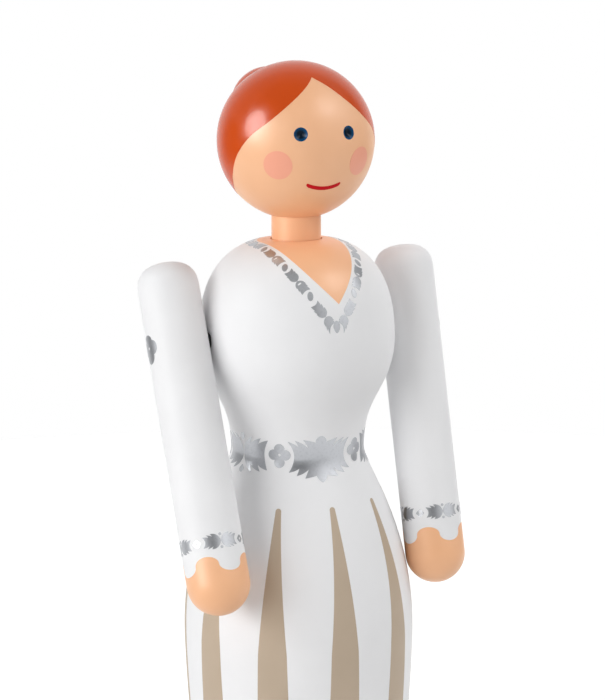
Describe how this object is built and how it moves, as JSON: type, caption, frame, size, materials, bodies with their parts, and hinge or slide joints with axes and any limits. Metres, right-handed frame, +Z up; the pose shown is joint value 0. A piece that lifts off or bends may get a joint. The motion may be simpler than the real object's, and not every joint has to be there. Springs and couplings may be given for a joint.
{
  "type": "wooden bride figure",
  "caption": "Turned and painted wooden bride figure: gown body on a flat base, ball head that turns on a neck dowel, and round arms that swing on shoulder screws.",
  "frame": {"origin": "centre of the flat base that the figure stands on", "axes": "+Z up along the turned body, the figure faces -Y, its right hand is on -X"},
  "size_m": [0.0616, 0.0458, 0.165],
  "materials": {
    "dress_paint": "beech under cool white satin paint",
    "skin_paint": "beech under peach satin paint",
    "hair_paint": "beech under auburn semi-gloss paint",
    "stripe_paint": "taupe satin paint",
    "cheek_paint": "pink satin paint",
    "lip_paint": "red satin paint",
    "eye_paint": "dark blue gloss paint",
    "silver_foil": "hot stamped silver foil",
    "bare_beech": "bare",
    "steel": "zinc plated",
    "brass": "plain turned",
    "black_rubber": "matt"
  },
  "bodies": {
    "body": {"body": "dress_paint", "right_screw": "steel", "left_screw": "steel", "right_insert": "brass", "left_insert": "brass", "right_washer": "black_rubber", "left_washer": "black_rubber"},
    "head": {"head": "skin_paint", "neck_dowel": "skin_paint", "neck_ring": "black_rubber", "hair_bun": "hair_paint", "bun_dowel": "bare_beech"},
    "right_arm": {"right_arm": "dress_paint", "right_bush": "brass", "right_cap": "dress_paint"},
    "left_arm": {"left_arm": "dress_paint", "left_bush": "brass", "left_cap": "dress_paint"}
  },
  "joints": [
    {"name": "head_turn", "type": "hinge", "parent": "body", "child": "head", "pos_m": [0, 0, 0.13125], "axis": [0, 0, 1], "continuous": true},
    {"name": "right_shoulder", "type": "hinge", "parent": "body", "child": "right_arm", "pos_m": [-0.02493, 0, 0.1128], "axis": [-1, 0, 0], "range_deg": [-9.2, 324.2]},
    {"name": "left_shoulder", "type": "hinge", "parent": "body", "child": "left_arm", "pos_m": [0.02493, 0, 0.1128], "axis": [-1, 0, 0], "range_deg": [-0.1, 333.3]}
  ]
}
